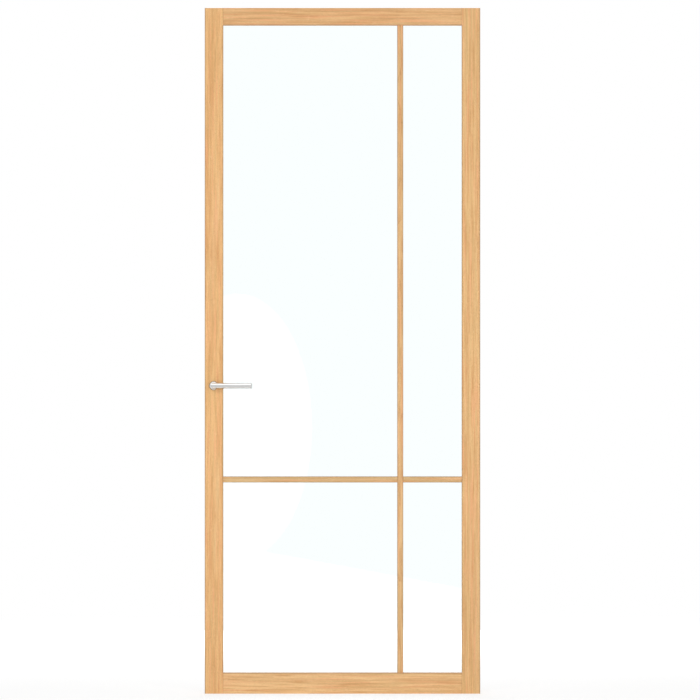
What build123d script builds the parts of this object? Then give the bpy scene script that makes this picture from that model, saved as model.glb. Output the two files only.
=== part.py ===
"""Slim oak door leaf with one pane of clear glass, applied glazing bars and a pair of bar levers.

The frame of reference has +X out of the hinge edge, +Z up and the front face towards -Y.
The origin is on the flat hinge edge, at its foot and half way through the leaf's thickness.
All lengths are in millimetres.
"""
import os

from build123d import *

# Leaf
leaf_width = 930
leaf_height = 2315
leaf_thickness = 40
stile_width = 62
top_rail_width = 58
bottom_rail_width = 70
outer_edge_radius = 3
sight_edge_radius = 2.5

# Stile and rail joints
tenon_length = 32
tenon_thickness = 12
tenon_haunch = 12
shoulder_bevel = 0.6
joint_clearance = 0.2
mortise_end_gap = 2

# Pane, tape and beads
glass_thickness = 6
tape_thickness = 2
tape_setback = 2
rebate_width = 12
pane_edge_gap = 3
bead_edge_radius = 1.5
block_length = 80
block_inset = 150

# Glazing bars
bar_width = 20
bar_setback = 6
bar_edge_radius = 2
upright_bar_from_lock_edge = 660
cross_bar_height = 723

# Hinge seats
hinge_count = 4
hinge_end_distance = 230
hinge_length = 89
hinge_leaf_width = 30
hinge_leaf_thickness = 2.5
hinge_corner_radius = 5
pilot_radius = 1.75
pilot_depth = 25
pilot_spacing_along = 62
pilot_spacing_across = 14

# Lock
lever_height = 1040
backset = 30
case_thickness = 16
case_depth = 41
case_height = 165
case_clearance = 0.25
case_drop = 30
forend_width = 20
forend_length = 235
forend_thickness = 3
forend_screw_spacing = 215
forend_screw_radius = 2.25
forend_screw_head_radius = 4.5
forend_pilot_radius = 1.5
forend_pilot_depth = 25
latch_width = 14
latch_height = 32
latch_depth = 14
latch_rise = 34
latch_clearance = 0.25
latch_edge_radius = 0.8
follower_radius = 8.75
follower_clearance = 0.1

# Levers
bar_radius = 9.5
tube_wall = 1.5
grip_standoff = 55
lever_length = 138
neck_insertion = 10
bush_wall = 1.5
bush_clearance = 0.1
bush_flange_radius = 15
bush_flange_thickness = 1
rose_radius = 13.5
rose_thickness = 4
rose_clearance = 0.2
rose_taper = 30
grub_hole_radius = 2.5
grub_hole_from_face = 14
spindle_side = 8
spindle_clearance = 0.1
spindle_length = 90
spindle_end_gap = 1
cap_thickness = 4
cap_spigot_length = 8
cap_clearance = 0.1
cap_chamfer = 0.8

# Planes and lines that several pieces share
front_face = -leaf_thickness / 2
rear_face = leaf_thickness / 2
glass_front = -glass_thickness / 2
glass_rear = glass_thickness / 2
lip_back = glass_front - tape_thickness
bead_front = glass_rear + tape_thickness
lock_edge = -leaf_width
sight_left = lock_edge + stile_width
sight_right = -stile_width
sight_bottom = bottom_rail_width
sight_top = leaf_height - top_rail_width
floor_left = sight_left - rebate_width
floor_right = sight_right + rebate_width
floor_bottom = sight_bottom - rebate_width
floor_top = sight_top + rebate_width
bar_x = lock_edge + upright_bar_from_lock_edge
spindle_x = lock_edge + backset
forend_height = lever_height - case_drop
tolerance = 0.01

os.makedirs("parts", exist_ok=True)


def finish(piece, name):
    """Labels a finished piece and writes it to a file of the same name."""
    piece.part.label = name
    export_step(piece.part, f"parts/{name}.step")


def cut_box(x_range, y_range, z_range):
    """Takes a box away from the part in work, between the given low and high faces."""
    centre = [(low + high) / 2 for low, high in (x_range, y_range, z_range)]
    size = [high - low for low, high in (x_range, y_range, z_range)]
    with Locations(Vector(*centre)):
        Box(*size, mode=Mode.SUBTRACT)


def tenon_span(outer, inward):
    """Low and high ends, along Z, of the tenon of the rail whose outer edge is given."""
    width = top_rail_width if inward < 0 else bottom_rail_width
    near = outer + inward * tenon_haunch
    far = outer + inward * (width - rebate_width)
    return min(near, far), max(near, far)


# Stiles: full height, rebated from the rear along the inner edge and mortised for both rails.
def stile(outer, inward):
    """A stile whose outer edge is at X = outer; inward is the direction of the glass along X."""
    floor = outer + inward * (stile_width - rebate_width)
    sight = outer + inward * stile_width
    with BuildPart() as piece:
        with BuildSketch(Plane.XY):
            with BuildLine():
                Polyline(
                    (outer, front_face),
                    (sight, front_face),
                    (sight, lip_back),
                    (floor, lip_back),
                    (floor, rear_face),
                    (outer, rear_face),
                    close=True,
                )
            make_face()
        extrude(amount=leaf_height)
        uprights = piece.edges().filter_by(Axis.Z)
        outer_edges = uprights.filter_by(lambda e: abs(e.center().X - outer) < tolerance)
        fillet(outer_edges, outer_edge_radius)
        # The sight edge is rounded from rail to rail, and stays square beside their shoulders.
        with BuildSketch(Plane.XY.offset(sight_bottom)):
            corner = (sight - inward * sight_edge_radius / 2, front_face + sight_edge_radius / 2)
            with Locations(corner):
                Rectangle(sight_edge_radius, sight_edge_radius)
            with Locations((sight - inward * sight_edge_radius, front_face + sight_edge_radius)):
                Circle(sight_edge_radius, mode=Mode.SUBTRACT)
        extrude(amount=sight_top - sight_bottom, mode=Mode.SUBTRACT)
        mortise_end = sight - inward * (tenon_length + mortise_end_gap)
        for edge, direction in ((0, 1), (leaf_height, -1)):
            low, high = tenon_span(edge, direction)
            cut_box(
                (min(mortise_end, sight), max(mortise_end, sight)),
                (-tenon_thickness / 2 - joint_clearance, tenon_thickness / 2 + joint_clearance),
                (low - joint_clearance, high + joint_clearance),
            )
    return piece


plain_lock_stile = stile(lock_edge, 1)
with BuildPart() as lock_stile:
    add(plain_lock_stile.part)
    # Seat of the forend, flush with the lock edge, and the pocket of the lock case behind it.
    with BuildSketch(Plane.YZ.offset(lock_edge)):
        with Locations((0, forend_height)):
            SlotOverall(forend_length, forend_width, rotation=90)
    extrude(amount=forend_thickness, mode=Mode.SUBTRACT)
    pocket_half = case_thickness / 2 + case_clearance
    pocket_rise = case_height / 2 + case_clearance
    cut_box(
        (lock_edge, lock_edge + forend_thickness + case_depth + case_clearance),
        (-pocket_half, pocket_half),
        (forend_height - pocket_rise, forend_height + pocket_rise),
    )
    # Bore for the two lever bushes, right through the stile.
    with BuildSketch(Plane.XZ.offset(-rear_face)):
        with Locations((spindle_x, lever_height)):
            Circle(bar_radius + bush_clearance + bush_wall)
    extrude(amount=leaf_thickness, mode=Mode.SUBTRACT)
    # Pilot holes for the two forend screws, above and below the case.
    with BuildSketch(Plane.YZ.offset(lock_edge + forend_thickness)):
        with Locations((0, forend_height)):
            with GridLocations(0, forend_screw_spacing, 1, 2):
                Circle(forend_pilot_radius)
    extrude(amount=forend_pilot_depth, mode=Mode.SUBTRACT)
finish(lock_stile, "lock_stile")

plain_hinge_stile = stile(0, -1)
hinge_spacing = (leaf_height - 2 * hinge_end_distance) / (hinge_count - 1)
with BuildPart() as hinge_stile:
    add(plain_hinge_stile.part)
    for number in range(hinge_count):
        height = hinge_end_distance + number * hinge_spacing
        # Seat sunk into the edge and open to the rear face, with rounded inner corners.
        with BuildSketch(Plane.YZ):
            with Locations((rear_face - hinge_leaf_width / 2 + hinge_corner_radius, height)):
                RectangleRounded(
                    hinge_leaf_width + 2 * hinge_corner_radius, hinge_length, hinge_corner_radius
                )
        extrude(amount=-hinge_leaf_thickness, mode=Mode.SUBTRACT)
        with BuildSketch(Plane.YZ.offset(-hinge_leaf_thickness)):
            with Locations((rear_face - hinge_leaf_width / 2, height)):
                with GridLocations(pilot_spacing_across, pilot_spacing_along, 2, 2):
                    Circle(pilot_radius)
        extrude(amount=-pilot_depth, mode=Mode.SUBTRACT)
finish(hinge_stile, "hinge_stile")


# Rails: a long shoulder fills the stile's rebate behind, a short one meets its lip in front.
def rail(outer, inward):
    """A rail whose outer edge is at Z = outer; inward is the direction of the glass along Z."""
    width = top_rail_width if inward < 0 else bottom_rail_width
    sight = outer + inward * width
    floor = sight - inward * rebate_width
    with BuildPart() as piece:
        with BuildSketch(Plane.YZ.offset(floor_left)):
            with BuildLine():
                Polyline(
                    (front_face, outer),
                    (front_face, sight),
                    (lip_back, sight),
                    (lip_back, floor),
                    (rear_face, floor),
                    (rear_face, outer),
                    close=True,
                )
            make_face()
        extrude(amount=floor_right - floor_left)
        cut_box((floor_left, sight_left), (front_face, lip_back), sorted((outer, sight)))
        cut_box((sight_right, floor_right), (front_face, lip_back), sorted((outer, sight)))
        front_edges = piece.edges().filter_by(lambda e: abs(e.center().Y - front_face) < tolerance)
        sight_edge = front_edges.filter_by(lambda e: abs(e.center().Z - sight) < tolerance)
        fillet(sight_edge, sight_edge_radius)
        front_edges = piece.edges().filter_by(lambda e: abs(e.center().Y - front_face) < tolerance)
        chamfer(front_edges.filter_by(Axis.Z), shoulder_bevel)
        low, high = tenon_span(outer, inward)
        tenon_left = sight_left - tenon_length
        tenon_right = sight_right + tenon_length
        with Locations(((sight_left + sight_right) / 2, 0, (low + high) / 2)):
            Box(tenon_right - tenon_left, tenon_thickness, high - low)
    return piece


finish(rail(leaf_height, -1), "top_rail")
finish(rail(0, 1), "bottom_rail")

# Pane: one sheet, held between two tapes and standing on two blocks.
pane_left = floor_left + pane_edge_gap
pane_right = floor_right - pane_edge_gap
pane_bottom = floor_bottom + pane_edge_gap
pane_top = floor_top - pane_edge_gap
pane_centre = ((pane_left + pane_right) / 2, (pane_bottom + pane_top) / 2)
with BuildPart() as glass_pane:
    with BuildSketch(Plane.XZ.offset(-glass_rear)):
        with Locations(pane_centre):
            Rectangle(pane_right - pane_left, pane_top - pane_bottom)
    extrude(amount=glass_thickness)
finish(glass_pane, "glass_pane")

for name, near in (("front_glazing_tape", glass_front), ("rear_glazing_tape", bead_front)):
    with BuildPart() as tape:
        with BuildSketch(Plane.XZ.offset(-near)):
            with Locations(pane_centre):
                Rectangle(pane_right - pane_left, pane_top - pane_bottom)
            with Locations(((sight_left + sight_right) / 2, (sight_bottom + sight_top) / 2)):
                Rectangle(
                    sight_right - sight_left + 2 * tape_setback,
                    sight_top - sight_bottom + 2 * tape_setback,
                    mode=Mode.SUBTRACT,
                )
        extrude(amount=tape_thickness)
    finish(tape, name)

with BuildPart() as setting_blocks:
    block_z = (floor_bottom + pane_bottom) / 2
    with Locations(
        (pane_left + block_inset, 0, block_z),
        (pane_right - block_inset, 0, block_z),
    ):
        Box(block_length, glass_thickness, pane_edge_gap)
finish(setting_blocks, "setting_blocks")


# Beads: mitred at the corners, flush with the rear face, holding the pane from behind.
def bead(start, end, sight_start, sight_end):
    """A bead between two corners of the rebate floor and the two sight corners beside them."""
    with BuildPart() as piece:
        with BuildSketch(Plane.XZ.offset(-rear_face)):
            with BuildLine():
                Polyline(start, end, sight_end, sight_start, close=True)
            make_face()
        extrude(amount=rear_face - bead_front)
        along = Vector(*end) - Vector(*start)
        middle = (Vector(*sight_start) + Vector(*sight_end)) / 2
        direction = Axis.X if abs(along.X) > abs(along.Y) else Axis.Z
        sight_edge = piece.edges().filter_by(direction).filter_by(
            lambda e: abs(e.center().X - middle.X) < tolerance
            and abs(e.center().Z - middle.Y) < tolerance
            and abs(e.center().Y - rear_face) < tolerance
        )
        fillet(sight_edge, bead_edge_radius)
    return piece


floor_corners = [
    (floor_left, floor_bottom),
    (floor_right, floor_bottom),
    (floor_right, floor_top),
    (floor_left, floor_top),
]
sight_corners = [
    (sight_left, sight_bottom),
    (sight_right, sight_bottom),
    (sight_right, sight_top),
    (sight_left, sight_top),
]
bead_names = ("bottom_bead", "hinge_side_bead", "top_bead", "lock_side_bead")
for number, name in enumerate(bead_names):
    following = (number + 1) % len(bead_names)
    finish(
        bead(
            floor_corners[number],
            floor_corners[following],
            sight_corners[number],
            sight_corners[following],
        ),
        name,
    )


# Glazing bars: laid on both faces of the pane and halved into each other where they cross.
def glazing_bars(side):
    """The upright and the cross bar on one face of the pane; side is -1 in front, 1 behind."""
    near = side * glass_thickness / 2
    far = side * (leaf_thickness / 2 - bar_setback)
    half = (near + far) / 2
    with BuildPart() as upright:
        with Locations((bar_x, half, (sight_bottom + sight_top) / 2)):
            Box(bar_width, abs(far - near), sight_top - sight_bottom)
        long_edges = upright.edges().filter_by(Axis.Z)
        face_edges = long_edges.filter_by(lambda e: abs(e.center().Y - far) < tolerance)
        fillet(face_edges, bar_edge_radius)
        cut_box(
            (bar_x - bar_width / 2, bar_x + bar_width / 2),
            sorted((near, half)),
            (cross_bar_height - bar_width / 2, cross_bar_height + bar_width / 2),
        )
    with BuildPart() as cross:
        with Locations(((sight_left + sight_right) / 2, half, cross_bar_height)):
            Box(sight_right - sight_left, abs(far - near), bar_width)
        long_edges = cross.edges().filter_by(Axis.X)
        face_edges = long_edges.filter_by(lambda e: abs(e.center().Y - far) < tolerance)
        fillet(face_edges, bar_edge_radius)
        cut_box(
            (bar_x - bar_width / 2, bar_x + bar_width / 2),
            sorted((half, far)),
            (cross_bar_height - bar_width / 2, cross_bar_height + bar_width / 2),
        )
    return upright, cross


for side, place in ((-1, "front"), (1, "rear")):
    upright, cross = glazing_bars(side)
    finish(upright, f"{place}_upright_bar")
    finish(cross, f"{place}_cross_bar")

# Lock: a slim case in the stile behind a round-ended forend, with a flush magnetic latch.
case_front = lock_edge + forend_thickness
latch_z = lever_height + latch_rise
with BuildPart() as lock_case:
    with Locations((case_front + case_depth / 2, 0, forend_height)):
        Box(case_depth, case_thickness, case_height)
    with BuildSketch(Plane.XZ.offset(-case_thickness / 2)):
        with Locations((spindle_x, lever_height)):
            Circle(follower_radius + follower_clearance)
    extrude(amount=case_thickness, mode=Mode.SUBTRACT)
    cut_box(
        (case_front, lock_edge + latch_depth),
        (-latch_width / 2, latch_width / 2),
        (latch_z - latch_height / 2, latch_z + latch_height / 2),
    )
finish(lock_case, "lock_case")

with BuildPart() as forend:
    with BuildSketch(Plane.YZ.offset(lock_edge)):
        with Locations((0, forend_height)):
            SlotOverall(forend_length, forend_width, rotation=90)
        with Locations((0, latch_z)):
            Rectangle(
                latch_width + 2 * latch_clearance,
                latch_height + 2 * latch_clearance,
                mode=Mode.SUBTRACT,
            )
    extrude(amount=forend_thickness)
    outside = Plane(origin=(lock_edge, 0, forend_height), x_dir=(0, 1, 0), z_dir=(-1, 0, 0))
    with Locations(outside):
        with GridLocations(0, forend_screw_spacing, 1, 2):
            CounterSinkHole(forend_screw_radius, forend_screw_head_radius, forend_thickness)
finish(forend, "forend")

with BuildPart() as latch:
    with Locations((lock_edge + latch_depth / 2, 0, latch_z)):
        Box(latch_depth, latch_width, latch_height)
    fillet(latch.faces().sort_by(Axis.X)[0].edges(), latch_edge_radius)
finish(latch, "latch")

with BuildPart() as follower:
    with BuildSketch(Plane.XZ.offset(-case_thickness / 2)):
        with Locations((spindle_x, lever_height)):
            Circle(follower_radius)
            Rectangle(
                spindle_side + 2 * spindle_clearance,
                spindle_side + 2 * spindle_clearance,
                mode=Mode.SUBTRACT,
            )
    extrude(amount=case_thickness)
finish(follower, "follower")

with BuildPart() as spindle:
    with Locations((spindle_x, 0, lever_height)):
        Box(spindle_side, spindle_length, spindle_side)
finish(spindle, "spindle")


# Levers: a neck and a tube of one diameter, mitred together, with a cap in the tube's free end.
# The neck turns in a flanged bush that is pressed into the stile, under a small tapered rose.
def lever(side):
    """The bush, rose, neck, grip and end cap on one face; side is -1 in front, 1 behind."""
    face = side * leaf_thickness / 2
    axis_y = side * (leaf_thickness / 2 + grip_standoff)
    mitre = Plane(origin=(spindle_x, axis_y, lever_height), z_dir=(1, side, 0))
    pocket_y = side * (case_thickness / 2 + case_clearance)
    free_end = spindle_x - bar_radius + lever_length

    bush_bore = bar_radius + bush_clearance
    flange_front = face + side * bush_flange_thickness
    with BuildPart() as bush:
        with BuildSketch(Plane.XZ.offset(-face)):
            with Locations((spindle_x, lever_height)):
                Circle(bush_bore + bush_wall)
        extrude(amount=side * abs(face - pocket_y))
        with BuildSketch(Plane.XZ.offset(-face)):
            with Locations((spindle_x, lever_height)):
                Circle(bush_flange_radius)
        extrude(amount=-side * bush_flange_thickness)
        with BuildSketch(Plane.XZ.offset(-flange_front)):
            with Locations((spindle_x, lever_height)):
                Circle(bush_bore)
        extrude(amount=side * abs(flange_front - pocket_y), mode=Mode.SUBTRACT)

    # The rose is a tapered ring that sits on the flange and leaves its rim to show.
    with BuildPart() as rose:
        with BuildSketch(Plane.XZ.offset(-flange_front)):
            with Locations((spindle_x, lever_height)):
                Circle(rose_radius)
        extrude(amount=-side * rose_thickness, taper=rose_taper)
        with BuildSketch(Plane.XZ.offset(-flange_front)):
            with Locations((spindle_x, lever_height)):
                Circle(bar_radius + rose_clearance)
        extrude(amount=-side * rose_thickness, mode=Mode.SUBTRACT)

    neck_start = side * (leaf_thickness / 2 - neck_insertion)
    neck_length = neck_insertion + grip_standoff + bar_radius
    socket = spindle_side + 2 * spindle_clearance
    socket_depth = spindle_length / 2 + spindle_end_gap - abs(neck_start)
    with BuildPart() as neck:
        with BuildSketch(Plane.XZ.offset(-neck_start)):
            with Locations((spindle_x, lever_height)):
                Circle(bar_radius)
        extrude(amount=-side * neck_length)
        split(bisect_by=mitre, keep=Keep.BOTTOM)
        with BuildSketch(Plane.XZ.offset(-neck_start)):
            with Locations((spindle_x, lever_height)):
                Rectangle(socket, socket)
        extrude(amount=-side * socket_depth, mode=Mode.SUBTRACT)
        # Hole for the grub screw, from below up to the spindle.
        with BuildSketch(Plane.XY.offset(lever_height - bar_radius)):
            with Locations((spindle_x, face + side * grub_hole_from_face)):
                Circle(grub_hole_radius)
        extrude(amount=bar_radius, mode=Mode.SUBTRACT)

    tube_end = free_end - cap_thickness
    with BuildPart() as grip:
        with BuildSketch(Plane.YZ.offset(spindle_x - bar_radius)):
            with Locations((axis_y, lever_height)):
                Circle(bar_radius)
                Circle(bar_radius - tube_wall, mode=Mode.SUBTRACT)
        extrude(amount=tube_end - (spindle_x - bar_radius))
        split(bisect_by=mitre, keep=Keep.TOP)

    with BuildPart() as cap:
        with BuildSketch(Plane.YZ.offset(tube_end)):
            with Locations((axis_y, lever_height)):
                Circle(bar_radius)
        extrude(amount=cap_thickness)
        chamfer(cap.faces().sort_by(Axis.X)[-1].edges(), cap_chamfer)
        with BuildSketch(Plane.YZ.offset(tube_end)):
            with Locations((axis_y, lever_height)):
                Circle(bar_radius - tube_wall - cap_clearance)
        extrude(amount=-cap_spigot_length)
    return bush, rose, neck, grip, cap


for side, place in ((-1, "front"), (1, "rear")):
    bush, rose, neck, grip, cap = lever(side)
    finish(bush, f"{place}_bush")
    finish(rose, f"{place}_rose")
    finish(neck, f"{place}_neck")
    finish(grip, f"{place}_grip")
    finish(cap, f"{place}_end_cap")
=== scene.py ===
import math

import bmesh
import bpy
from mathutils import Euler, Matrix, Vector


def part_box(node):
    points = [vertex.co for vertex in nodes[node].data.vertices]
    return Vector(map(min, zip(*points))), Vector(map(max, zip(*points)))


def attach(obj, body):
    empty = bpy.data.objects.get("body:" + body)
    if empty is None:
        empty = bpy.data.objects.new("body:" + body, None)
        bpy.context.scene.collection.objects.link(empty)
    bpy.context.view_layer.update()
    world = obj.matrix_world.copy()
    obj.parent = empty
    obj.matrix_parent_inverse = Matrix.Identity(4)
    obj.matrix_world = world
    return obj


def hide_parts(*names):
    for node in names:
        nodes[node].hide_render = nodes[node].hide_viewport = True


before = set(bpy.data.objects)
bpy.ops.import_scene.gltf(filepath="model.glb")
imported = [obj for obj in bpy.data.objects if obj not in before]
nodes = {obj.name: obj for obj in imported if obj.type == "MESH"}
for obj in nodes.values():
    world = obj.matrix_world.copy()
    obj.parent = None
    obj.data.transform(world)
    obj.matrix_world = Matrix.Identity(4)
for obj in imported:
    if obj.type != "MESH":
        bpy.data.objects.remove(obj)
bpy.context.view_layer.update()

# Stiles and rails. The frame of the leaf is European oak, planed and sanded, tenoned together
# and finished with a clear matt lacquer. Each board has its own grain and tone, which runs up
# the stiles and along the rails.


def linear(hex_colour):
    """The linear colour, with alpha 1, of an sRGB hex value such as "#c8a070"."""
    channels = [int(hex_colour[i : i + 2], 16) / 255 for i in (1, 3, 5)]
    curve = [c / 12.92 if c <= 0.04045 else ((c + 0.055) / 1.055) ** 2.4 for c in channels]
    return (*curve, 1.0)


def add_node(tree, kind, inputs=None, **settings):
    """Adds a node with its settings, and gives its inputs plain values or other nodes' outputs."""
    made = tree.nodes.new(kind)
    for name, value in settings.items():
        setattr(made, name, value)
    for name, value in (inputs or {}).items():
        if isinstance(value, bpy.types.NodeSocket):
            tree.links.new(value, made.inputs[name])
        else:
            made.inputs[name].default_value = value
    return made


def blank_material(name):
    """A new material with an empty node tree, and that tree."""
    material = bpy.data.materials.new(name)
    material.use_nodes = True
    material.node_tree.nodes.clear()
    return material, material.node_tree


def surface(tree, inputs):
    """Ends a tree in one Principled shader with the given inputs."""
    shader = add_node(tree, "ShaderNodeBsdfPrincipled", inputs)
    add_node(tree, "ShaderNodeOutputMaterial", {"Surface": shader.outputs["BSDF"]})


def pattern(tree, vector, size_mm, detail=2.0, roughness=0.5, distortion=0.0):
    """Noise whose features have the given size, in millimetres, along each axis of the vector."""
    scaled = add_node(
        tree, "ShaderNodeMapping", {"Vector": vector, "Scale": [1000 / size for size in size_mm]}
    )
    noise = add_node(
        tree,
        "ShaderNodeTexNoise",
        {
            "Vector": scaled.outputs["Vector"],
            "Scale": 1.0,
            "Detail": detail,
            "Roughness": roughness,
            "Distortion": distortion,
        },
    )
    return noise.outputs["Fac"]


def spread(tree, value, low, high, to_low=0.0, to_high=1.0):
    """The value spread from one range to another, with soft ends."""
    limits = {"From Min": low, "From Max": high, "To Min": to_low, "To Max": to_high}
    ranged = add_node(
        tree, "ShaderNodeMapRange", {"Value": value, **limits}, interpolation_type="SMOOTHSTEP"
    )
    return ranged.outputs["Result"]


def product(tree, first, second):
    """One value times another."""
    return add_node(tree, "ShaderNodeMath", {0: first, 1: second}, operation="MULTIPLY").outputs[0]


def blended(tree, colour, other, factor):
    """One colour turned into another by a factor from 0 to 1."""
    mix = add_node(tree, "ShaderNodeMix", data_type="RGBA")
    for socket, value in ((mix.inputs[0], factor), (mix.inputs[6], colour), (mix.inputs[7], other)):
        if isinstance(value, bpy.types.NodeSocket):
            tree.links.new(value, socket)
        else:
            socket.default_value = value
    return mix.outputs[2]


def dress(node_name, material):
    """Gives a CAD node its finish."""
    for material_slot in nodes[node_name].material_slots:
        material_slot.material = material


def lacquered_oak(name, along, shift, light="#ebbb80", dark="#dba66c", ring_mm=3.0):
    """Planed oak under matt lacquer: honey tones in long straight streaks, dark open pores in
    dashes along each growth ring, pale ray flecks, painted shade on the rounded edges, and a low
    even sheen."""
    material, tree = blank_material(name)
    own = add_node(tree, "ShaderNodeTexCoord").outputs
    # The grain runs along local Z, so a board that lies along X is turned upright.
    turned = (0, math.radians(90) if along == "X" else 0, 0)
    board = add_node(
        tree, "ShaderNodeMapping", {"Vector": own["Object"], "Location": shift, "Rotation": turned}
    ).outputs["Vector"]

    # The heart of the tree lies 140 mm off the board, so that the growth rings show as straight
    # lines on the face and as arcs on the end grain. They wander by up to seven rings.
    heart = (0.14, 0.05, 0)
    wander_in_rings = 7.0
    section = add_node(
        tree, "ShaderNodeMapping", {"Vector": board, "Scale": (1, 1, 0), "Location": heart}
    )
    from_heart = add_node(
        tree, "ShaderNodeVectorMath", {0: section.outputs["Vector"]}, operation="LENGTH"
    )
    wander = pattern(tree, board, (40, 40, 380))
    rings = product(tree, from_heart.outputs["Value"], 1000 / ring_mm)
    shifted = add_node(
        tree, "ShaderNodeMath", {0: wander, 1: wander_in_rings, 2: rings}, operation="MULTIPLY_ADD"
    )
    phase = add_node(tree, "ShaderNodeMath", {0: shifted.outputs[0]}, operation="FRACT").outputs[0]
    early_wood = spread(tree, phase, 0.4, 0.0)

    # Each pattern's size is given across, through and along the grain.
    tone = pattern(tree, board, (26, 26, 650))
    streak = pattern(tree, board, (8, 8, 260), 3.0, 0.6, 0.15)
    fine_streak = pattern(tree, board, (3.4, 3.4, 110), 2.0, 0.55)
    blush = pattern(tree, board, (5.2, 5.2, 190))
    # Pores are 0.25 to 0.4 mm wide and 3 to 12 mm long. Most lie in the early wood.
    long_pores = spread(tree, pattern(tree, board, (0.42, 0.42, 9), 1.0), 0.56, 0.66)
    short_pores = spread(tree, pattern(tree, board, (0.3, 0.3, 3.6), 1.0), 0.62, 0.7, 0.0, 0.6)
    pores_in_rings = product(tree, long_pores, early_wood)
    pores = add_node(
        tree, "ShaderNodeMath", {0: pores_in_rings, 1: short_pores}, operation="MAXIMUM"
    ).outputs[0]
    # Flecks are the cut edges of the rays: 1 to 2 mm wide and up to 18 mm long.
    flecks = spread(tree, pattern(tree, board, (2.6, 9, 17), 2.0, 0.5, 0.2), 0.6, 0.72, 0.0, 0.3)

    # Painted shade darkens the rounded edges, where the parts of the normal add up to more than 1.
    parts = add_node(tree, "ShaderNodeVectorMath", {0: own["Normal"]}, operation="ABSOLUTE")
    added = add_node(
        tree, "ShaderNodeVectorMath", {0: parts.outputs[0], 1: (1, 1, 1)}, operation="DOT_PRODUCT"
    )
    edges = spread(tree, added.outputs["Value"], 1.08, 1.3, 0.0, 0.6)

    colour = blended(tree, linear(light), linear(dark), spread(tree, streak, 0.36, 0.66))
    for tint, figure, starts, full, share in (
        ("#f0aa7c", blush, 0.5, 0.68, 0.5),
        ("#d2b078", blush, 0.48, 0.3, 0.4),
        ("#c98f55", fine_streak, 0.46, 0.72, 0.6),
        ("#f0c894", tone, 0.54, 0.74, 0.4),
    ):
        colour = blended(tree, colour, linear(tint), spread(tree, figure, starts, full, 0.0, share))
    for tint, share in (
        ("#b97f48", product(tree, early_wood, 0.22)),
        ("#f6d3a4", flecks),
        # Painted shade on the rounded edges.
        ("#8c6c4e", edges),
        ("#6f4526", product(tree, pores, 0.6)),
    ):
        colour = blended(tree, colour, linear(tint), share)

    pore_depth = 0.00012
    hollow = add_node(tree, "ShaderNodeMath", {0: 1.0, 1: pores}, operation="SUBTRACT").outputs[0]
    relief = add_node(
        tree, "ShaderNodeBump", {"Strength": 0.6, "Distance": pore_depth, "Height": hollow}
    )
    surface(
        tree,
        {
            "Base Color": colour,
            "Roughness": spread(tree, pores, 0, 1, 0.46, 0.7),
            "IOR": 1.5,
            "Normal": relief.outputs["Normal"],
        },
    )
    return material


for name, along, shift, light, dark, ring_mm in (
    ("lock_stile", "Z", (0, 0, 0), "#edbe83", "#dda96f", 3.0),
    ("hinge_stile", "Z", (0.37, 0.11, 0.6), "#e7bd84", "#d6a871", 3.4),
    ("top_rail", "X", (0.2, 0.43, 0.3), "#e7ba84", "#d5a370", 2.6),
    # The bottom rail's tones are set paler than the other boards': painted light, making up for the
    # weaker light low on the leaf.
    ("bottom_rail", "X", (0.51, 0.27, 0.9), "#f1c790", "#deb07a", 3.0),
):
    dress(name, lacquered_oak(f"lacquered_oak_{name}", along, shift, light, dark, ring_mm))

# Pane. One sheet of 6 mm float glass with arrised edges stands on two packers and is bedded
# between two strips of foam tape.


def float_glass(name):
    """Clear float glass: smooth on both faces, with the faint cyan cast that iron gives it."""
    material, tree = blank_material(name)
    surface(
        tree,
        {
            "Base Color": linear("#faffff"),
            "Roughness": 0.0,
            "IOR": 1.52,
            "Transmission Weight": 1.0,
        },
    )
    return material


def moulded_plastic(name, colour, roughness, grain_mm, relief_mm):
    """Moulded plastic, foam or wax: one flat tone, with a fine even grain that dulls its sheen."""
    material, tree = blank_material(name)
    place = add_node(tree, "ShaderNodeTexCoord").outputs["Object"]
    grain = pattern(tree, place, (grain_mm, grain_mm, grain_mm))
    uneven = 0.06
    relief = add_node(
        tree, "ShaderNodeBump", {"Strength": 0.5, "Distance": relief_mm / 1000, "Height": grain}
    )
    surface(
        tree,
        {
            "Base Color": linear(colour),
            "Roughness": spread(tree, grain, 0.3, 0.7, roughness - uneven, roughness + uneven),
            "IOR": 1.5,
            "Normal": relief.outputs["Normal"],
        },
    )
    return material


dress("glass_pane", float_glass("float_glass_clear"))
# Light falls through the pane, so it throws no dark shadow.
nodes["glass_pane"].visible_shadow = False
foam_tape = moulded_plastic("foam_tape_tan", "#a98158", 0.85, 0.6, 0.1)
dress("front_glazing_tape", foam_tape)
dress("rear_glazing_tape", foam_tape)
dress("setting_blocks", moulded_plastic("polypropylene_packer", "#2b2b2d", 0.5, 0.8, 0.03))

# Beads. Four square oak beads, mitred at the corners, hold the pane from behind. They are pinned
# to the frame, and the sunk pin heads are stopped with wax of nearly the wood's tone.
for name, along, shift in (
    ("bottom_bead", "X", (0.9, 0.2, 0.1)),
    ("top_bead", "X", (0.7, 0.6, 0.4)),
    ("lock_side_bead", "Z", (0.6, 0.9, 0.2)),
    ("hinge_side_bead", "Z", (0.8, 0.3, 0.7)),
):
    dress(name, lacquered_oak(f"lacquered_oak_{name}", along, shift))


def chosen_alone(piece=None):
    """Leaves edit mode and selects one piece alone, or none."""
    if bpy.context.mode == "EDIT_MESH":
        bpy.ops.object.mode_set(mode="OBJECT")
    bpy.ops.object.select_all(action="DESELECT")
    if piece:
        piece.select_set(True)
        bpy.context.view_layer.objects.active = piece


def new_piece(name, add, **settings):
    """A primitive, added alone and named, with its place moved into its mesh."""
    chosen_alone()
    add(**settings)
    piece = bpy.context.object
    piece.name = piece.data.name = name
    bpy.ops.object.transform_apply(location=True, rotation=True, scale=True)
    return piece


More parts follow.
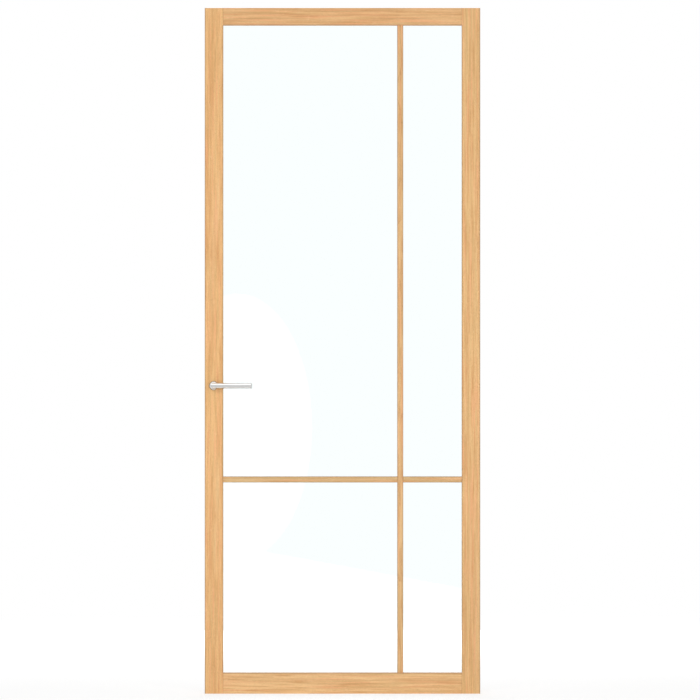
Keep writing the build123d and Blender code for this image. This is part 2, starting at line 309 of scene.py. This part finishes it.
def pick(piece, kind, test=lambda at: True):
    """Opens a piece and selects the edges or faces whose corners all pass the test."""
    chosen_alone(piece)
    bpy.ops.object.mode_set(mode="EDIT")
    bpy.ops.mesh.select_mode(type=kind)
    bpy.ops.mesh.select_all(action="DESELECT")
    mesh = bmesh.from_edit_mesh(piece.data)
    for element in mesh.edges if kind == "EDGE" else mesh.faces:
        if all(test(corner.co) for corner in element.verts):
            element.select_set(True)
    mesh.select_flush_mode()
    bmesh.update_edit_mesh(piece.data)


def rounded(offset, segments):
    """Bevels the selected edges."""
    bpy.ops.mesh.bevel(offset=offset, segments=segments, affect="EDGES")


def drawn_out(step):
    """Extrudes the selected faces."""
    bpy.ops.mesh.extrude_region_move(TRANSFORM_OT_translate={"value": step})


def copied(piece, name):
    """A copy of a piece, with its own mesh."""
    chosen_alone(piece)
    copy = piece.copy()
    copy.data = piece.data.copy()
    copy.name = copy.data.name = name
    bpy.context.scene.collection.objects.link(copy)
    return copy


def finished(piece, material, body):
    """Gives a piece its smooth shading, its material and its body."""
    sharpest_smooth_edge = math.radians(32)
    chosen_alone(piece)
    bpy.ops.object.shade_smooth_by_angle(angle=sharpest_smooth_edge)
    piece.data.materials.append(material)
    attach(piece, body)


stopping_radius = 0.0009
stopping_depth = 0.0006
stopping_crown = 0.00006
crown_ring_width = 0.35 * stopping_radius
pin_spacing = 0.25
pin_from_end = 0.06
rear_face_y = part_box("top_bead")[1].y
upright_turn = (math.radians(90), 0, 0)

stopping = new_piece(
    "pin_stopping", bpy.ops.mesh.primitive_cylinder_add, vertices=16, radius=stopping_radius,
    depth=stopping_depth, rotation=upright_turn,
    location=(0, rear_face_y - stopping_depth / 2, 0),
)
pick(stopping, "FACE", lambda at: at.y > rear_face_y - stopping_depth / 2)
for rise in (0.7 * stopping_crown, 0.3 * stopping_crown):
    bpy.ops.mesh.inset(thickness=crown_ring_width)
    bpy.ops.transform.translate(value=(0, rise, 0))
stoppings = []
for bead in ("bottom_bead", "top_bead", "lock_side_bead", "hinge_side_bead"):
    low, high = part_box(bead)
    middle = Vector(((low.x + high.x) / 2, 0, (low.z + high.z) / 2))
    upright = high.z - low.z > high.x - low.x
    run = Vector((0, 0, high.z - low.z)) if upright else Vector((high.x - low.x, 0, 0))
    pinned = run * (1 - 2 * pin_from_end / run.length)
    count = round(pinned.length / pin_spacing) + 1
    for number in range(count):
        copy = copied(stopping, "pin_stopping")
        copy.location = middle + pinned * (number / (count - 1) - 0.5)
        stoppings.append(copy)
bpy.data.objects.remove(stopping)
chosen_alone(stoppings[0])
for copy in stoppings:
    copy.select_set(True)
bpy.ops.object.transform_apply(location=True, rotation=False, scale=False)
bpy.ops.object.join()
stoppings = bpy.context.object
stoppings.name = stoppings.data.name = "rear_pin_stoppings"
finished(stoppings, moulded_plastic("wax_stopping_honey", "#c8935a", 0.5, 0.4, 0.02), "leaf")

# Glazing bars. Flat oak bars with rounded edges are bonded to both faces of the pane, and halved
# into each other where they cross, so that the upright runs through on the face.
for side, depth in (("front", 0.13), ("rear", 0.71)):
    # The bars keep their own oak grain, but their tones are set darker than the frame's, and the
    # cross bar's darkest: painted shade for their rounded edges.
    for bar, along, shift, light, dark in (
        ("upright_bar", "Z", (depth, 0.5, 0.1), "#e2ba85", "#d1a773"),
        ("cross_bar", "X", (depth, 0.2, 0.8), "#dab886", "#c9a574"),
    ):
        name = f"{side}_{bar}"
        dress(name, lacquered_oak(f"lacquered_oak_{name}", along, shift, light, dark))

# Lock. A slim mortise case sits behind a round-ended forend of brushed stainless steel, held by
# two countersunk screws. Its flush nylon latch is drawn out by a magnet in the frame.


def steel_surface(tree, lines, colour, roughness):
    """Ends a tree in steel whose tool lines vary its tone, its sheen and its relief."""
    line_depth = 0.00002
    relief = add_node(
        tree, "ShaderNodeBump", {"Strength": 0.25, "Distance": line_depth, "Height": lines}
    )
    dull = spread(tree, lines, 0.42, 0.66, 0.0, 0.3)
    surface(
        tree,
        {
            "Base Color": blended(tree, linear(colour), linear("#949392"), dull),
            "Metallic": 1.0,
            "Roughness": spread(tree, lines, 0.3, 0.7, roughness - 0.05, roughness + 0.07),
            "Normal": relief.outputs["Normal"],
        },
    )


def brushed_steel(name, along, colour="#cdcdcc", roughness=0.3):
    """Steel brushed one way: satin, with hairlines along the stroke of the belt."""
    material, tree = blank_material(name)
    place = add_node(tree, "ShaderNodeTexCoord").outputs["Object"]
    # Real hairlines are 0.05 mm apart. They are drawn 0.35 mm apart so that they show.
    line_mm, stroke_mm = 0.35, 40
    sizes = [stroke_mm if axis == along else line_mm for axis in "XYZ"]
    steel_surface(tree, pattern(tree, place, sizes, 2.0, 0.6), colour, roughness)
    return material


def turned_steel(name, centre, along, colour="#d8d7d5", roughness=0.26):
    """Stainless steel faced on a lathe: fine rings about the axis, which catch light as arcs."""
    material, tree = blank_material(name)
    place = add_node(tree, "ShaderNodeTexCoord").outputs["Object"]
    across = [0 if axis == along else 1 for axis in "XYZ"]
    to_axis = [-at * scale for at, scale in zip(centre, across)]
    section = add_node(
        tree, "ShaderNodeMapping", {"Vector": place, "Scale": across, "Location": to_axis}
    )
    from_axis = add_node(
        tree, "ShaderNodeVectorMath", {0: section.outputs["Vector"]}, operation="LENGTH"
    )
    distance = add_node(tree, "ShaderNodeCombineXYZ", {"X": from_axis.outputs["Value"]})
    # Real tool rings are 0.08 mm apart. They are drawn 0.4 mm apart so that they show.
    ring_mm = 0.4
    rings = pattern(tree, distance.outputs[0], (ring_mm, 1, 1), 1.0)
    steel_surface(tree, rings, colour, roughness)
    return material


def applied(piece, kind, **settings):
    """Adds a modifier to a piece and applies it."""
    chosen_alone(piece)
    modifier = piece.modifiers.new(kind.lower(), kind)
    for name, value in settings.items():
        setattr(modifier, name, value)
    bpy.ops.object.modifier_apply(modifier=modifier.name)


def carved(piece, cutter):
    """Takes the shape of a cutter out of a piece, and removes the cutter."""
    applied(piece, "BOOLEAN", object=cutter, operation="DIFFERENCE", solver="EXACT")
    bpy.data.objects.remove(cutter)


dress("forend", brushed_steel("brushed_stainless_forend", "Z", roughness=0.34))
zinc_plate = brushed_steel("zinc_plated_steel", "Z", "#b9bab8", 0.42)
for name in ("lock_case", "follower", "spindle"):
    dress(name, zinc_plate)
dress("latch", moulded_plastic("moulded_nylon_latch", "#1c1c1e", 0.42, 0.5, 0.02))

screw_spacing = 0.215
head_radius = 0.0043
head_depth = 0.0025
head_edge = 0.0002
head_sunk = 0.0001
neck_radius = 0.0020
core_radius = 0.0014
screw_length = 0.020
screw_tip = 0.003
tip_share = 0.2
recess_span = 0.0046
recess_width = 0.0009
recess_depth = 0.0016
recess_floor_share = 0.55
sideways_turn = (0, math.radians(90), 0)
forend_low, forend_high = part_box("forend")
upper_screw_z = (forend_low.z + forend_high.z + screw_spacing) / 2
screw_top = Vector((forend_low.x + head_sunk, 0, upper_screw_z))
half_way_in = screw_top.x + head_depth / 2

screw = new_piece(
    "upper_forend_screw", bpy.ops.mesh.primitive_cone_add, vertices=48, radius1=head_radius,
    radius2=neck_radius, depth=head_depth, rotation=sideways_turn,
    location=(half_way_in, 0, upper_screw_z),
)
pick(screw, "EDGE", lambda at: at.x < half_way_in)
rounded(head_edge, 2)
pick(screw, "FACE", lambda at: at.x > half_way_in)
bpy.ops.mesh.inset(thickness=neck_radius - core_radius)
drawn_out((screw_length - head_depth - screw_tip, 0, 0))
drawn_out((screw_tip, 0, 0))
bpy.ops.transform.resize(value=(1, tip_share, tip_share), center_override=screw_top)
for turn in (45, 135):
    cutter = new_piece(
        "cross_recess", bpy.ops.mesh.primitive_cube_add, size=1,
        scale=(2 * recess_depth, recess_span, recess_width),
        rotation=(math.radians(turn), 0, 0), location=screw_top,
    )
    pick(cutter, "FACE", lambda at: at.x > screw_top.x)
    taper = (1, recess_floor_share, recess_floor_share)
    bpy.ops.transform.resize(value=taper, center_override=screw_top)
    carved(screw, cutter)
lower_screw = copied(screw, "lower_forend_screw")
pick(lower_screw, "FACE")
bpy.ops.transform.translate(value=(0, 0, -screw_spacing))
for piece, centre in ((screw, screw_top), (lower_screw, screw_top - Vector((0, 0, screw_spacing)))):
    faced = turned_steel(f"turned_stainless_{piece.name}", centre, "X", roughness=0.3)
    finished(piece, faced, "leaf")

# Levers. On each face a stainless tube, brushed along its length, is mitred and welded to a solid
# neck and closed by a turned cap. The neck turns in a flanged nylon bush under a domed rose, and
# a grub screw in its underside clamps it to the spindle.
grip_low, grip_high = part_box("front_grip")
neck_low, neck_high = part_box("front_neck")
cap_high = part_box("front_end_cap")[1]
rose_low, rose_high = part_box("front_rose")
spindle_low, spindle_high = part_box("spindle")
leaf_face_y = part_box("lock_stile")[0].y
around = 96
nearly = 1e-5
bar_radius = (grip_high.y - grip_low.y) / 2
tube_wall = 0.0015
weld_line = 0.0002
elbow = (spindle_low + spindle_high) / 2
elbow.y = (grip_low.y + grip_high.y) / 2
mitre_normal = (1, -1, 0)


def on_mitre(at):
    """Whether a point lies in the plane of the mitre and on the outside of the bar."""
    from_elbow = at - elbow
    outside = math.hypot(from_elbow.y, from_elbow.z) > bar_radius - tube_wall / 2
    return outside and abs(from_elbow.x - from_elbow.y) < nearly


grip = new_piece(
    "front_grip_tube", bpy.ops.mesh.primitive_cylinder_add, vertices=around, radius=bar_radius,
    depth=grip_high.x - grip_low.x, rotation=sideways_turn, end_fill_type="NOTHING",
    location=((grip_low.x + grip_high.x) / 2, elbow.y, elbow.z),
)
applied(grip, "SOLIDIFY", thickness=tube_wall, offset=-1)
pick(grip, "FACE")
bpy.ops.mesh.bisect(plane_co=elbow, plane_no=mitre_normal, use_fill=True, clear_inner=True)
pick(grip, "EDGE", on_mitre)
rounded(weld_line, 2)

neck = new_piece(
    "front_neck_bar", bpy.ops.mesh.primitive_cylinder_add, vertices=around, radius=bar_radius,
    depth=neck_high.y - neck_low.y, rotation=upright_turn,
    location=(elbow.x, (neck_low.y + neck_high.y) / 2, elbow.z),
)
pick(neck, "FACE")
bpy.ops.mesh.bisect(plane_co=elbow, plane_no=mitre_normal, use_fill=True, clear_outer=True)
pick(neck, "EDGE", on_mitre)
rounded(weld_line, 2)

socket_clearance = 0.0001
socket_past_spindle = 0.001
socket_side = spindle_high.z - spindle_low.z + 2 * socket_clearance
socket_depth = socket_past_spindle - spindle_low.y
socket = new_piece(
    "spindle_socket", bpy.ops.mesh.primitive_cube_add, size=1,
    scale=(socket_side, 2 * socket_depth, socket_side), location=(elbow.x, 0, elbow.z),
)
carved(neck, socket)

grub_hole_radius = 0.0025
grub_radius = 0.00235
grub_edge = 0.0003
grub_sunk = 0.001
grub_from_leaf = 0.014
key_across_flats = 0.0025
key_socket_depth = 0.002
grub_y = leaf_face_y - grub_from_leaf
grub_bottom = elbow.z - bar_radius + grub_sunk
grub_hole = new_piece(
    "grub_hole", bpy.ops.mesh.primitive_cylinder_add, vertices=48, radius=grub_hole_radius,
    depth=2 * bar_radius, location=(elbow.x, grub_y, elbow.z - bar_radius),
)
carved(neck, grub_hole)
grub = new_piece(
    "front_grub_screw", bpy.ops.mesh.primitive_cylinder_add, vertices=48, radius=grub_radius,
    depth=spindle_low.z - grub_bottom,
    location=(elbow.x, grub_y, (spindle_low.z + grub_bottom) / 2),
)
pick(grub, "EDGE", lambda at: at.z < grub_bottom + nearly)
rounded(grub_edge, 2)
key_socket = new_piece(
    "key_socket", bpy.ops.mesh.primitive_cylinder_add, vertices=6, depth=2 * key_socket_depth,
    radius=key_across_flats / math.sqrt(3), location=(elbow.x, grub_y, grub_bottom),
)
carved(grub, key_socket)

cap_edge = 0.0009
cap_seam = 0.00015
cap_plug_length = 0.008
cap = new_piece(
    "front_end_cap_turned", bpy.ops.mesh.primitive_cylinder_add, vertices=around,
    radius=bar_radius, depth=cap_high.x - grip_high.x, rotation=sideways_turn,
    location=((cap_high.x + grip_high.x) / 2, elbow.y, elbow.z),
)
pick(cap, "EDGE", lambda at: at.x > cap_high.x - nearly)
rounded(cap_edge, 4)
pick(cap, "EDGE", lambda at: at.x < grip_high.x + nearly)
rounded(cap_seam, 1)
pick(cap, "FACE", lambda at: at.x < grip_high.x + nearly)
bpy.ops.mesh.inset(thickness=tube_wall)
drawn_out((-cap_plug_length, 0, 0))

rose_clearance = 0.0002
rose_edge = 0.0028
rose_radius = rose_high.x - elbow.x
rose_bore = bar_radius + rose_clearance
rose = new_piece(
    "front_rose_domed", bpy.ops.mesh.primitive_cylinder_add, vertices=around,
    radius=rose_radius, depth=rose_high.y - rose_low.y, rotation=upright_turn,
    location=(elbow.x, (rose_low.y + rose_high.y) / 2, elbow.z),
)
pick(rose, "EDGE", lambda at: at.y < rose_low.y + nearly)
rounded(rose_edge, 7)
pick(rose, "FACE", lambda at: at.y < rose_low.y + nearly)
bpy.ops.mesh.inset(thickness=rose_radius - rose_edge - rose_bore)
pick(rose, "FACE", lambda at: at.y > rose_high.y - nearly)
bpy.ops.mesh.inset(thickness=rose_radius - rose_bore)
pick(rose, "FACE", lambda at: math.hypot(at.x - elbow.x, at.z - elbow.z) < rose_bore + 10 * nearly)
bpy.ops.mesh.bridge_edge_loops()


def mirrored_behind(piece):
    """A copy of a front piece, turned over to the rear face."""
    copy = copied(piece, piece.name.replace("front", "rear"))
    pick(copy, "FACE")
    bpy.ops.transform.resize(value=(1, -1, 1), center_override=(0, 0, 0))
    bpy.ops.mesh.normals_make_consistent(inside=False)
    return copy


lever_pieces = []
front_pieces = {"grip": grip, "neck": neck, "end_cap": cap, "rose": rose, "grub_screw": grub}
for side, way in (("rear", -1), ("front", 1)):
    centre = Vector((elbow.x, way * elbow.y, elbow.z))
    finishes = {
        "grip": brushed_steel(f"brushed_stainless_{side}_grip", "X"),
        "neck": brushed_steel(f"brushed_stainless_{side}_neck", "Y"),
        "end_cap": turned_steel(f"turned_stainless_{side}_end_cap", centre, "X"),
        "rose": turned_steel(f"turned_stainless_{side}_rose", centre, "Y", "#ecebe8", 0.2),
        "grub_screw": brushed_steel(f"blackened_steel_{side}_grub", "Z", "#4a4a4c", 0.4),
    }
    for name, front_piece in front_pieces.items():
        piece = front_piece if side == "front" else mirrored_behind(front_piece)
        finished(piece, finishes[name], "leaf" if name == "rose" else "handle")
        if name != "grub_screw":
            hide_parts(f"{side}_{name}")
        lever_pieces.append(piece)
    dress(f"{side}_bush", moulded_plastic(f"moulded_nylon_{side}_bush", "#77716a", 0.5, 0.5, 0.02))

# Camera. It looks level and square on to the leaf from 20 m, and is framed as the photograph is: a
# 700 pixel square, in which the leaf is 685.7 pixels tall with its middle at (342.5, 350.85).
photo_size = 700
leaf_height_px = 685.7
leaf_middle_px = (342.5, 350.85)
camera_distance = 20.0
leaf_low, leaf_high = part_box("lock_stile")[0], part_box("hinge_stile")[1]
leaf_middle = (leaf_low + leaf_high) / 2
metres_per_px = (leaf_high.z - leaf_low.z) / leaf_height_px
camera_data = bpy.data.cameras.new("camera")
camera_data.sensor_width = 36
camera_data.lens = camera_data.sensor_width * camera_distance / (photo_size * metres_per_px)
camera = bpy.data.objects.new("camera", camera_data)
camera.location = (
    leaf_middle.x + (photo_size / 2 - leaf_middle_px[0]) * metres_per_px,
    leaf_low.y - camera_distance,
    leaf_middle.z - (photo_size / 2 - leaf_middle_px[1]) * metres_per_px,
)
camera.rotation_euler = (math.radians(90), 0, 0)
bpy.context.scene.collection.objects.link(camera)
bpy.context.scene.camera = camera
bpy.context.scene.view_settings.view_transform = "Standard"

# Studio. A white room with a pale floor: the backdrop and the floor read white to the eye and in
# reflections, and plain soft lamps light the leaf.
white = (1.0, 1.0, 1.0, 1.0)
room_light = 0.42


def seen_directly(tree):
    """1 for rays from the camera, off gloss or through glass, and 0 for the rest."""
    path = add_node(tree, "ShaderNodeLightPath").outputs
    seen = path["Is Camera Ray"]
    for other in ("Is Glossy Ray", "Is Transmission Ray"):
        either = add_node(tree, "ShaderNodeMath", {0: seen, 1: path[other]}, operation="MAXIMUM")
        seen = either.outputs[0]
    return seen


world = bpy.data.worlds.new("white_room")
bpy.context.scene.world = world
world.use_nodes = True
world.node_tree.nodes.clear()
strength = add_node(
    world.node_tree, "ShaderNodeMapRange",
    {"Value": seen_directly(world.node_tree), "To Min": room_light, "To Max": 1.0},
)
backdrop = add_node(
    world.node_tree, "ShaderNodeBackground",
    {"Color": white, "Strength": strength.outputs["Result"]},
)
add_node(world.node_tree, "ShaderNodeOutputWorld", {"Surface": backdrop.outputs["Background"]})

# The floor glows where it is seen. Near the leaf a share of lit paint keeps the leaf's soft
# shadow, and the glow makes up the rest of the white. Further off it is the backdrop's white.
floor_size = 90
near, far = 1.5, 6.0
near_share = 0.4
near_glow = 1.6
floor = new_piece("studio_floor", bpy.ops.mesh.primitive_plane_add, size=floor_size)
pale_floor, tree = blank_material("pale_painted_floor")
floor_place = add_node(tree, "ShaderNodeTexCoord").outputs["Object"]
from_leaf = add_node(tree, "ShaderNodeVectorMath", {0: floor_place}, operation="LENGTH")
away = from_leaf.outputs["Value"]
paint = add_node(tree, "ShaderNodeBsdfDiffuse", {"Color": linear("#ececec")})
glow_strength = spread(tree, away, near, far, near_glow, 1.0)
glow = add_node(tree, "ShaderNodeEmission", {"Color": white, "Strength": glow_strength})
share = product(tree, seen_directly(tree), spread(tree, away, near, far, near_share, 1.0))
floor_mix = add_node(
    tree, "ShaderNodeMixShader", {0: share, 1: paint.outputs["BSDF"], 2: glow.outputs["Emission"]}
)
add_node(tree, "ShaderNodeOutputMaterial", {"Surface": floor_mix.outputs["Shader"]})
floor.data.materials.append(pale_floor)


def soft_lamp(name, place, aim, width, height, glow, roll=0, shape="RECTANGLE"):
    """A flat lamp that lights the leaf but isn't seen itself, save in reflections. A glow of 1 is
    as bright as the white room, and roll turns it clockwise, in degrees."""
    lamp = bpy.data.lights.new(name, "AREA")
    lamp.shape = shape
    lamp.size = width
    lamp.size_y = height
    area = width * height * (1 if shape == "RECTANGLE" else math.pi / 4)
    lamp.energy = glow * area * math.pi
    holder = bpy.data.objects.new(name, lamp)
    holder.location = place
    facing = (Vector(aim) - Vector(place)).to_track_quat("-Z", "Y")
    holder.rotation_euler = (facing @ Euler((0, 0, -math.radians(roll))).to_quaternion()).to_euler()
    holder.visible_camera = False
    holder.visible_transmission = False
    bpy.context.scene.collection.objects.link(holder)
    return holder


def lights_only(lamp, name, pieces):
    """Links a lamp to some pieces, so that it lights nothing else."""
    lit = bpy.data.collections.new(name)
    for piece in pieces:
        lit.objects.link(piece)
    lamp.light_linking.receiver_collection = lit


# The leaf is lit from straight in front and straight behind, at about half its height, so that
# its rounded edges turn darker. These two lamps stay out of reflections.
lamp_distance = 4.5
lamp_height = 1.2
lamp_glow = 5.3
for name, way in (("front_lamp", -1), ("back_lamp", 1)):
    place = (leaf_middle.x, way * lamp_distance, lamp_height)
    lamp = soft_lamp(name, place, leaf_middle, 3.0, 2.8, lamp_glow)
    lamp.visible_glossy = False
# Two pale panels stand close in front of the leaf and light nothing but the pane. The camera sees
# them mirrored there, as the photograph does: an oval at the lower left, and a slanting edge below.
# Their places and sizes are those of the mirror images on the pane.
panel_y = -1.2
panel_glow = 1.8
to_panel = 1 - panel_y / camera_distance
for name, x, z, width, height, roll, shape in (
    ("oval_panel", -0.818, 0.900, 0.50, 0.90, 0, "ELLIPSE"),
    ("low_panel", -0.513, 0.160, 1.1, 0.55, 10.5, "RECTANGLE"),
):
    place = camera.location.lerp(Vector((x, 0, z)), to_panel)
    place.y = panel_y
    aim = place - Vector((0, panel_y, 0))
    size = (width * to_panel, height * to_panel)
    panel = soft_lamp(name, place, aim, *size, panel_glow, roll, shape)
    lights_only(panel, f"lit_by_{name}", [nodes["glass_pane"]])
# Two more, overhead and on the floor, light the levers alone and brighten their edges.
lever_panel_width = 1.8
for name, y, z, depth, glow in (
    ("lever_top_panel", 0.0, 2.84, 5.6, 1.2),
    ("lever_low_panel", -0.1, 0.02, 0.16, 1.8),
):
    panel = soft_lamp(name, (elbow.x, y, z), elbow, lever_panel_width, depth, glow)
    panel.visible_diffuse = False
    lights_only(panel, f"lit_by_{name}", lever_pieces)
